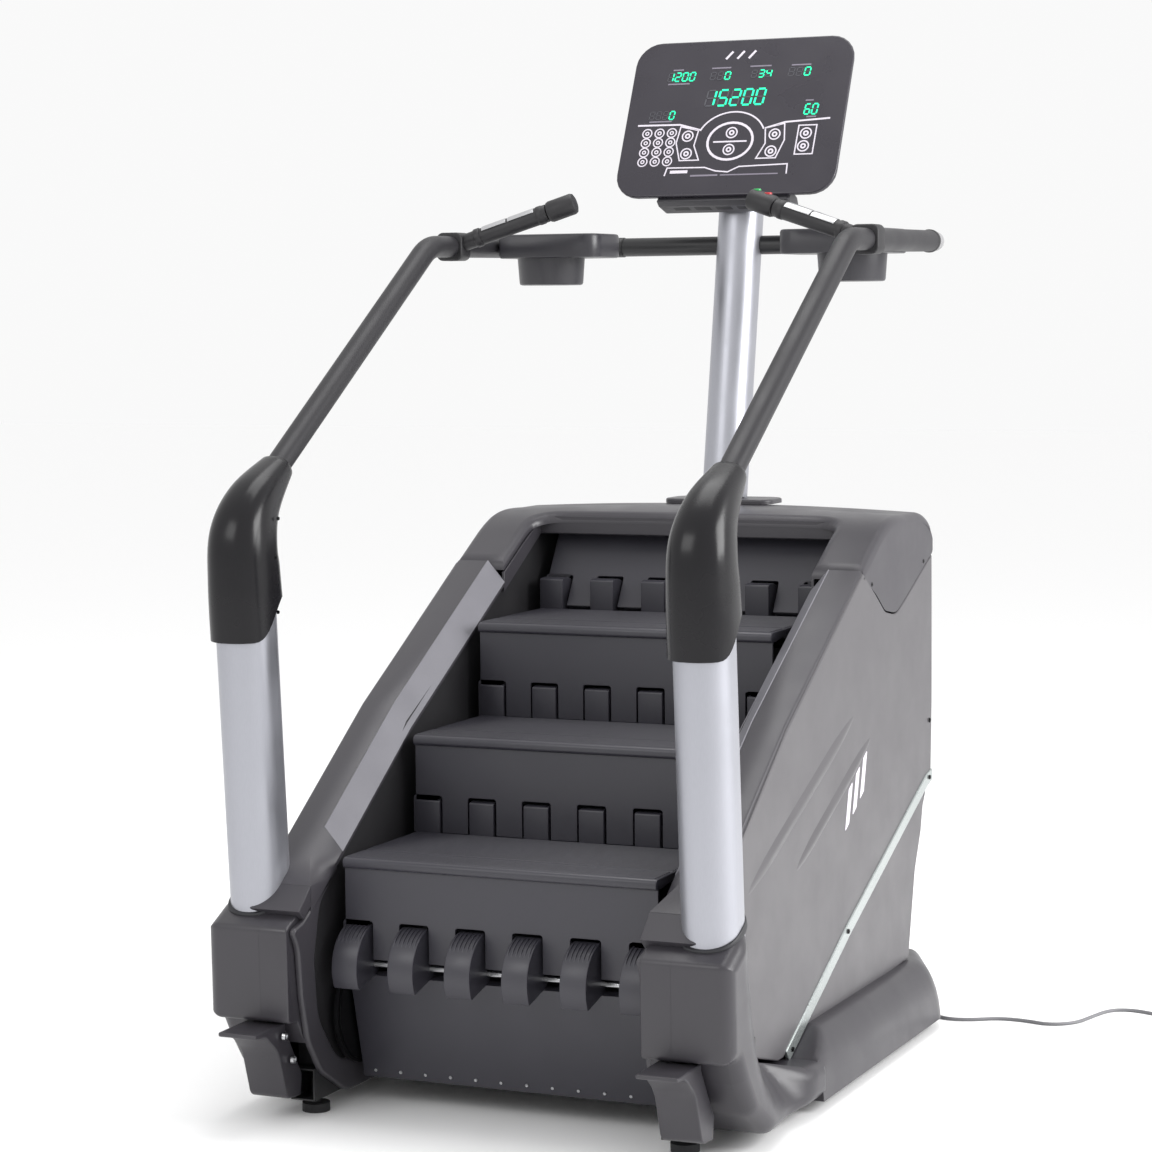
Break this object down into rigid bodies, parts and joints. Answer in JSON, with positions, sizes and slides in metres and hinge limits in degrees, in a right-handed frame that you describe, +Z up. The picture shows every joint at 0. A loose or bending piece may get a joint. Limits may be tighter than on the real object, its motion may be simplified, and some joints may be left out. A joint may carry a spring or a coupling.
{
  "type": "stair climber",
  "caption": "Gym stair climber with revolving steps, side housings, bent handrails, hand grips, cup holders and a mast-mounted console.",
  "frame": {"origin": "on the floor under the middle of the machine's box, without the mains lead", "axes": "+X to the user's right, +Y from the entry side to the console, +Z up"},
  "size_m": [1.573, 1.669, 2.0582],
  "materials": {
    "shell_charcoal": "fine moulded texture",
    "shell_grey": "fine moulded texture",
    "gloss_shell": "semi-gloss moulded",
    "step_plastic": "ribbed moulded",
    "bright_steel": "bright zinc",
    "satin_aluminium": "satin anodised",
    "tube_paint": "matte powder coat",
    "frame_paint": "powder coat",
    "rubber": "matte",
    "console_black": "semi-gloss",
    "button_red": "moulded",
    "button_green": "moulded",
    "cord_grey": "matte"
  },
  "bodies": {
    "frame": {"accent_strips": "satin_aluminium", "alternator": "frame_paint", "base_frame": "frame_paint", "base_skirts": "shell_grey", "console_back": "console_black", "console_bracket": "frame_paint", "console_face": "console_black", "control_pods": "console_black", "cord_coil": "cord_grey", "cord_gland": "cord_grey", "cross_rail": "tube_paint", "cup_trays": "console_black", "drive_belt": "rubber", "elbow_covers": "gloss_shell", "fasteners": "bright_steel", "front_pod_left": "shell_charcoal", "front_pod_right": "shell_charcoal", "grip_left": "rubber", "grip_right": "rubber", "hand_sensors": "satin_aluminium", "handrail_left": "tube_paint", "handrail_right": "tube_paint", "lift_handles": "shell_charcoal", "lower_panels": "shell_grey", "mains_cord": "cord_grey", "mains_plug": "cord_grey", "mast": "satin_aluminium", "mast_flange": "frame_paint", "post_left": "satin_aluminium", "post_right": "satin_aluminium", "rail_cover_left": "shell_charcoal", "rail_cover_right": "shell_charcoal", "rear_cover": "shell_grey", "rear_portal": "frame_paint", "shaft_bearings": "frame_paint", "side_panel_left": "shell_grey", "side_panel_right": "shell_grey", "step_chains": "bright_steel", "top_cap": "shell_charcoal"},
    "stair_flight": {"riser_b": "step_plastic", "riser_c": "step_plastic", "riser_d": "step_plastic", "tread_a": "step_plastic", "tread_b": "step_plastic", "tread_c": "step_plastic", "hinge_rods": "bright_steel"},
    "lowest_riser": {"riser_a": "step_plastic"},
    "folding_tread": {"tread_folding": "step_plastic", "hinge_rod_folding": "bright_steel"},
    "lower_drive": {"lower_shaft": "frame_paint"},
    "upper_drive": {"upper_shaft": "frame_paint"},
    "alternator_rotor": {"alternator_pulley": "frame_paint"},
    "return_run": {"return_steps": "step_plastic"},
    "button_stop": {"button_stop": "button_red"},
    "button_go": {"button_go": "button_green"},
    "transport_wheels": {"transport_wheels": "rubber"},
    "foot_front_left": {"foot_front_left": "rubber"},
    "foot_front_right": {"foot_front_right": "rubber"},
    "foot_rear_left": {"foot_rear_left": "rubber"},
    "foot_rear_right": {"foot_rear_right": "rubber"}
  },
  "joints": [
    {"name": "step_travel", "type": "slide", "parent": "frame", "child": "stair_flight", "axis": [0, -0.8387, -0.5446], "range_m": [0, 0.05]},
    {"name": "lowest_riser_tilt", "type": "hinge", "parent": "stair_flight", "child": "lowest_riser", "pos_m": [0, -0.5442, 0.47], "axis": [1, 0, 0], "range_deg": [0, 2]},
    {"name": "tread_fold", "type": "hinge", "parent": "frame", "child": "folding_tread", "pos_m": [0, -0.46411, 0.18239], "axis": [1, 0, 0], "range_deg": [0, 26]},
    {"name": "lower_shaft_turn", "type": "hinge", "parent": "frame", "child": "lower_drive", "pos_m": [0, -0.46411, 0.18239], "axis": [1, 0, 0], "range_deg": [0, 26]},
    {"name": "upper_shaft_turn", "type": "hinge", "parent": "frame", "child": "upper_drive", "pos_m": [0, 0.47522, 0.79235], "axis": [1, 0, 0], "range_deg": [0, 26]},
    {"name": "alternator_turn", "type": "hinge", "parent": "frame", "child": "alternator_rotor", "pos_m": [0, 0.49522, 0.46235], "axis": [1, 0, 0], "range_deg": [0, 96]},
    {"name": "return_travel", "type": "slide", "parent": "frame", "child": "return_run", "axis": [0, 0.8387, 0.5446], "range_m": [0, 0.05]},
    {"name": "stop_button_press", "type": "slide", "parent": "frame", "child": "button_stop", "axis": [0, 0, -1], "range_m": [0, 0.0025], "stiffness_N_per_m": 400},
    {"name": "go_button_press", "type": "slide", "parent": "frame", "child": "button_go", "axis": [0, 0, -1], "range_m": [0, 0.0025], "stiffness_N_per_m": 400},
    {"name": "wheel_roll", "type": "hinge", "parent": "frame", "child": "transport_wheels", "pos_m": [0, 0.6628, 0.042], "axis": [1, 0, 0], "continuous": true},
    {"name": "foot_front_left_level", "type": "slide", "parent": "frame", "child": "foot_front_left", "axis": [0, 0, 1], "range_m": [-0.012, 0]},
    {"name": "foot_front_right_level", "type": "slide", "parent": "frame", "child": "foot_front_right", "axis": [0, 0, 1], "range_m": [-0.012, 0]},
    {"name": "foot_rear_left_level", "type": "slide", "parent": "frame", "child": "foot_rear_left", "axis": [0, 0, 1], "range_m": [-0.012, 0]},
    {"name": "foot_rear_right_level", "type": "slide", "parent": "frame", "child": "foot_rear_right", "axis": [0, 0, 1], "range_m": [-0.012, 0]}
  ],
  "couplings": [
    {"joint": "lowest_riser_tilt", "follows": "step_travel", "rad_per_m": 0.63},
    {"joint": "tread_fold", "follows": "step_travel", "rad_per_m": 8.7719},
    {"joint": "lower_shaft_turn", "follows": "step_travel", "rad_per_m": 8.7719},
    {"joint": "upper_shaft_turn", "follows": "step_travel", "rad_per_m": 8.7719},
    {"joint": "alternator_turn", "follows": "step_travel", "rad_per_m": 33.118},
    {"joint": "return_travel", "follows": "step_travel", "ratio": 1}
  ]
}
